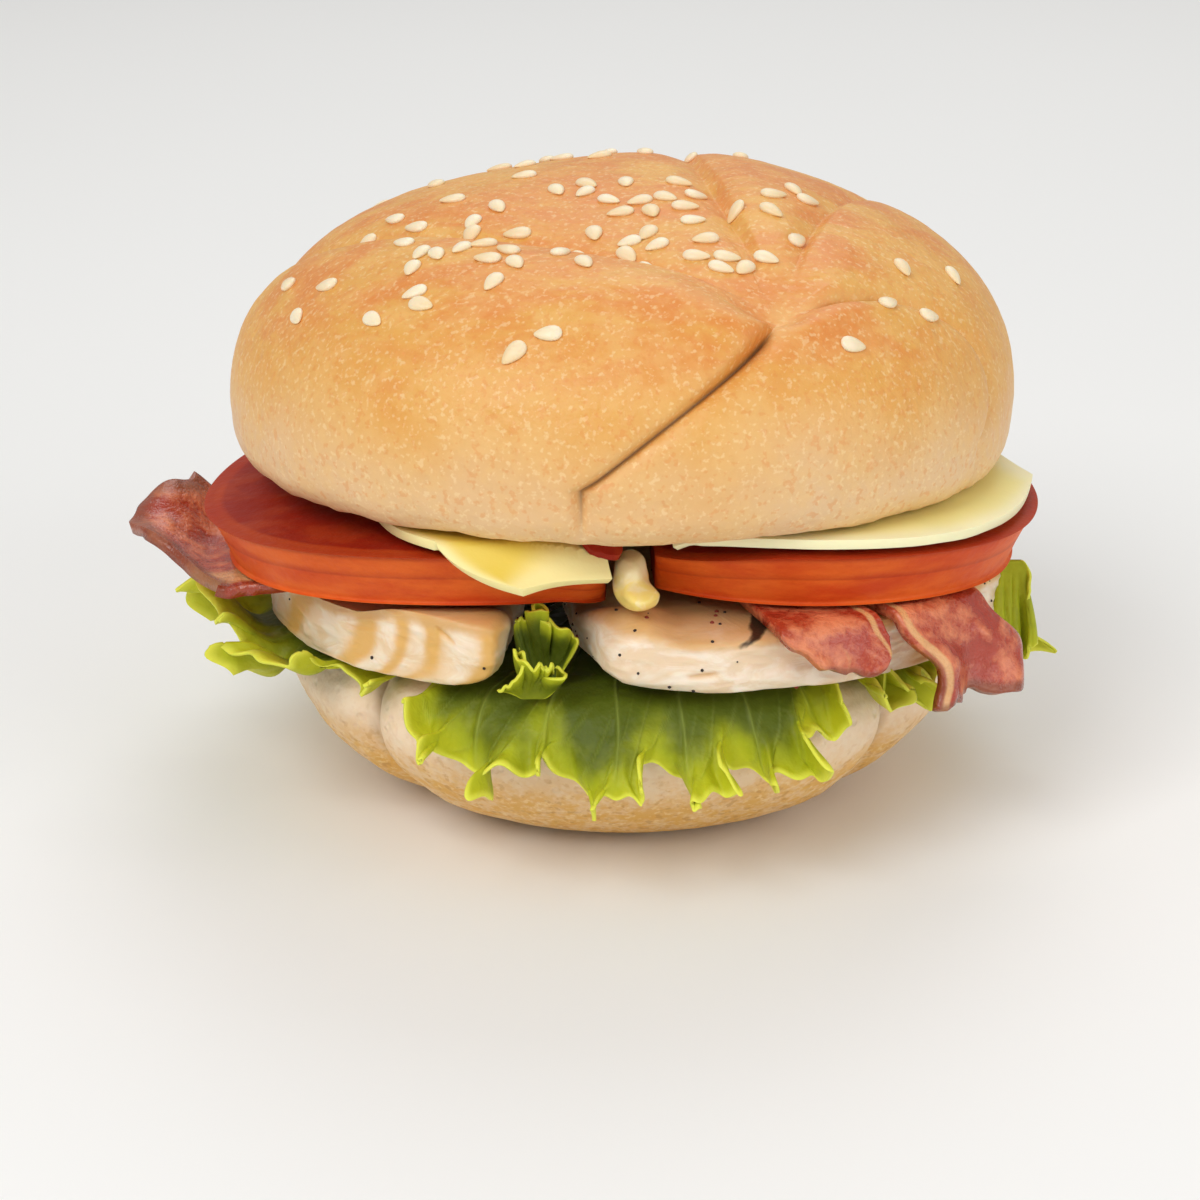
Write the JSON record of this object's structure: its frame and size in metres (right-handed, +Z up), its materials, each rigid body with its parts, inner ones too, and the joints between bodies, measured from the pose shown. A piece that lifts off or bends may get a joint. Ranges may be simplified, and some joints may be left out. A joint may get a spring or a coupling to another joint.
{
  "type": "chicken burger",
  "caption": "Chicken burger: a folded sesame roll filled with grilled chicken, bacon, tomato slices, melted cheese and frilly lettuce that show all round its sides.",
  "frame": {"origin": "centre of the heel's flat underside, on the surface that the burger stands on", "axes": "+Z up through the stack, -Y towards the burger's front, +X to the right seen from the front"},
  "size_m": [0.1198, 0.111, 0.0816],
  "materials": {
    "roll_top": "baked crust, golden brown, slightly glossy, with pale seeds",
    "roll_bottom": "soft baked bread, pale above and golden below",
    "lettuce": "fresh leaf, waxy",
    "chicken": "grilled meat, moist, with browned stripes",
    "bacon": "fried, glossy with fat",
    "tomato": "smooth wet skin",
    "cheese": "soft sliced cheese, satin",
    "sauce": "melted, satin"
  },
  "bodies": {
    "root": {"heel": "roll_bottom", "crown": "roll_top", "lettuce_front": "lettuce", "lettuce_back": "lettuce", "chicken_left": "chicken", "chicken_right": "chicken", "bacon_left": "bacon", "bacon_right_inner": "bacon", "bacon_right_outer": "bacon", "tomato_left": "tomato", "tomato_right": "tomato", "tomato_bit": "tomato", "sauce": "sauce", "cheese_left": "cheese", "cheese_right": "cheese"}
  },
  "joints": []
}
